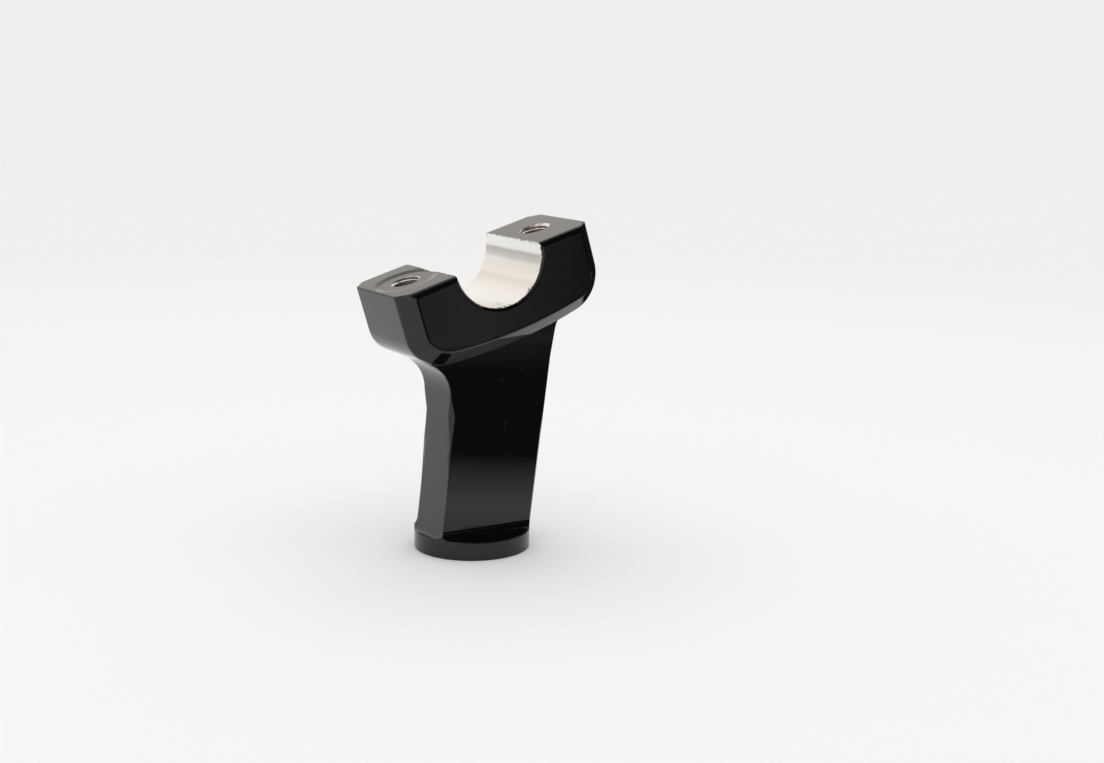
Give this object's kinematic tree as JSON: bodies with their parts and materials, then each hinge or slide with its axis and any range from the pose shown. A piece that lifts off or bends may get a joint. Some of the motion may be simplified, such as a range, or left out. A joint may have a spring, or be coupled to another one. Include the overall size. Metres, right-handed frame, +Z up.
{
  "type": "handlebar riser",
  "caption": "Machined aluminium motorbike handlebar riser, gloss black, with a round tapped foot, a flat neck and a tilted half-round saddle between tapped posts.",
  "frame": {"origin": "middle of the tapped hole in the foot, in the plane of the foot's underside", "axes": "+Z up from the foot, X along the handlebar, +Y towards the high post"},
  "size_m": [0.0314, 0.0603, 0.0883],
  "materials": {
    "gloss_black_coat": "gloss black coat over machined aluminium, left bare in the saddle, under the foot and in the threads"
  },
  "bodies": {
    "root": {"riser_body": "gloss_black_coat"}
  },
  "joints": []
}
